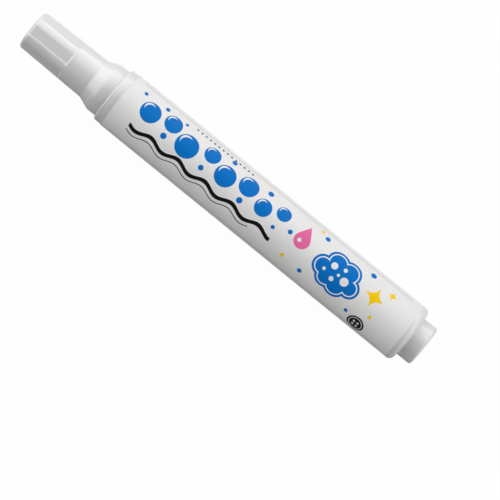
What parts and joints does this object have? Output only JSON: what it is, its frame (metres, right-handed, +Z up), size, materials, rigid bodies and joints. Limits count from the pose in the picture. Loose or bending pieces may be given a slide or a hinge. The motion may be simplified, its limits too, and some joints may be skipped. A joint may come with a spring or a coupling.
{
  "type": "stain remover pen",
  "caption": "Capped stain remover pen with a labelled barrel, a pull-off cap with grip flats and a chisel nib that presses in to open a sprung valve.",
  "frame": {"origin": "middle of the footprint of the pen lying on its side, at the surface it lies on", "axes": "+X along the pen from the cap towards the tail, +Z up through the front of the label"},
  "size_m": [0.14, 0.0174, 0.0175],
  "materials": {
    "barrel_plastic": "smooth satin moulding",
    "label_film": "printed satin film",
    "nose_plastic": "smooth gloss moulding",
    "cap_plastic": "smooth gloss moulding",
    "sleeve_plastic": "soft translucent moulding",
    "porous_nib": "sintered fibre, slightly rough",
    "foam": "open-cell foam",
    "seal_rubber": "matt rubber",
    "valve_plastic": "natural translucent plastic",
    "spring_steel": "drawn stainless wire",
    "fluid": "clear watery fluid"
  },
  "bodies": {
    "pen": {"barrel": "barrel_plastic", "label": "label_film", "nose_housing": "nose_plastic", "nib_bush": "nose_plastic", "absorber": "foam", "valve_seal": "seal_rubber", "valve_spring": "spring_steel", "valve_cage": "valve_plastic", "barrel_seal": "seal_rubber", "cleaning_fluid": "fluid"},
    "tip": {"nib": "porous_nib", "valve_stem": "valve_plastic"},
    "cap": {"cap_shell": "cap_plastic", "cap_sleeve": "sleeve_plastic"}
  },
  "joints": [
    {"name": "cap_slide", "type": "slide", "parent": "pen", "child": "cap", "axis": [-1, 0, 0], "range_m": [0, 0.04]},
    {"name": "nib_press", "type": "slide", "parent": "pen", "child": "tip", "axis": [1, 0, 0], "range_m": [0, 0.0015], "stiffness_N_per_m": 1500, "springref_m": -0.0006, "deforming": ["valve_spring"]}
  ]
}
